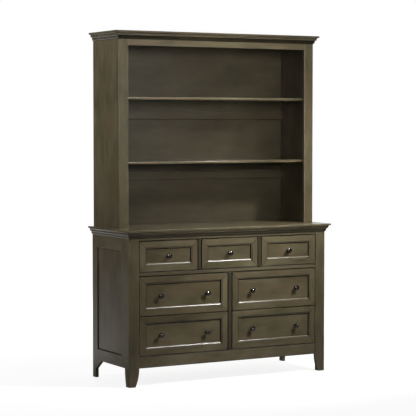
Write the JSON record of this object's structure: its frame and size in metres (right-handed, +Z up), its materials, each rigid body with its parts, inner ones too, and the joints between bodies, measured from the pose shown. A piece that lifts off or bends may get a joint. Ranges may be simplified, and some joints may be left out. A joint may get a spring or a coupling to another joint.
{
  "type": "dresser with hutch",
  "caption": "Wide wooden dresser with panelled drawers on side slides, round knobs and tapered feet, with an open bookcase hutch standing on its top.",
  "frame": {"origin": "on the floor, under the middle of the whole outline", "axes": "+Z up, the front with the drawers faces -Y, +X to the right seen from the front"},
  "size_m": [1.372, 0.506, 2.017],
  "materials": {
    "stained_wood": "satin grey-brown stain over visible grain",
    "plain_wood": "unstained, thin clear coat",
    "dark_metal": "dark gunmetal, satin",
    "slide_steel": "zinc-plated steel"
  },
  "bodies": {
    "case": {"front_leg_left": "stained_wood", "front_leg_right": "stained_wood", "rear_leg_left": "stained_wood", "rear_leg_right": "stained_wood", "side_frame_left": "stained_wood", "side_frame_right": "stained_wood", "side_panel_left": "stained_wood", "side_panel_right": "stained_wood", "front_bottom_rail": "stained_wood", "front_middle_rail": "stained_wood", "front_top_rail": "stained_wood", "front_stiles": "stained_wood", "dust_panel": "plain_wood", "bottom_board": "plain_wood", "partitions": "plain_wood", "dresser_back": "stained_wood", "dresser_top": "stained_wood", "top_moulding": "stained_wood", "case_slides": "slide_steel", "slide_blocks": "plain_wood", "hutch_side_left": "stained_wood", "hutch_side_right": "stained_wood", "hutch_stiles": "stained_wood", "hutch_top_rail": "stained_wood", "hutch_back": "stained_wood", "hutch_back_rail": "stained_wood", "shelf_lower": "stained_wood", "shelf_upper": "stained_wood", "shelf_pins": "slide_steel", "hutch_tenons": "plain_wood", "hutch_top": "stained_wood", "crown_moulding": "stained_wood"},
    "drawer_upper_left": {"drawer_front_upper_left": "stained_wood", "drawer_box_upper_left": "plain_wood", "drawer_knobs_upper_left": "dark_metal", "drawer_slides_upper_left": "slide_steel"},
    "drawer_upper_middle": {"drawer_front_upper_middle": "stained_wood", "drawer_box_upper_middle": "plain_wood", "drawer_knobs_upper_middle": "dark_metal", "drawer_slides_upper_middle": "slide_steel"},
    "drawer_upper_right": {"drawer_front_upper_right": "stained_wood", "drawer_box_upper_right": "plain_wood", "drawer_knobs_upper_right": "dark_metal", "drawer_slides_upper_right": "slide_steel"},
    "drawer_middle_left": {"drawer_front_middle_left": "stained_wood", "drawer_box_middle_left": "plain_wood", "drawer_knobs_middle_left": "dark_metal", "drawer_slides_middle_left": "slide_steel"},
    "drawer_middle_right": {"drawer_front_middle_right": "stained_wood", "drawer_box_middle_right": "plain_wood", "drawer_knobs_middle_right": "dark_metal", "drawer_slides_middle_right": "slide_steel"},
    "drawer_lower_left": {"drawer_front_lower_left": "stained_wood", "drawer_box_lower_left": "plain_wood", "drawer_knobs_lower_left": "dark_metal", "drawer_slides_lower_left": "slide_steel"},
    "drawer_lower_right": {"drawer_front_lower_right": "stained_wood", "drawer_box_lower_right": "plain_wood", "drawer_knobs_lower_right": "dark_metal", "drawer_slides_lower_right": "slide_steel"}
  },
  "joints": [
    {"name": "drawer_upper_left_slide", "type": "slide", "parent": "case", "child": "drawer_upper_left", "axis": [0, -1, 0], "range_m": [0, 0.3]},
    {"name": "drawer_upper_middle_slide", "type": "slide", "parent": "case", "child": "drawer_upper_middle", "axis": [0, -1, 0], "range_m": [0, 0.3]},
    {"name": "drawer_upper_right_slide", "type": "slide", "parent": "case", "child": "drawer_upper_right", "axis": [0, -1, 0], "range_m": [0, 0.3]},
    {"name": "drawer_middle_left_slide", "type": "slide", "parent": "case", "child": "drawer_middle_left", "axis": [0, -1, 0], "range_m": [0, 0.3]},
    {"name": "drawer_middle_right_slide", "type": "slide", "parent": "case", "child": "drawer_middle_right", "axis": [0, -1, 0], "range_m": [0, 0.3]},
    {"name": "drawer_lower_left_slide", "type": "slide", "parent": "case", "child": "drawer_lower_left", "axis": [0, -1, 0], "range_m": [0, 0.3]},
    {"name": "drawer_lower_right_slide", "type": "slide", "parent": "case", "child": "drawer_lower_right", "axis": [0, -1, 0], "range_m": [0, 0.3]}
  ]
}
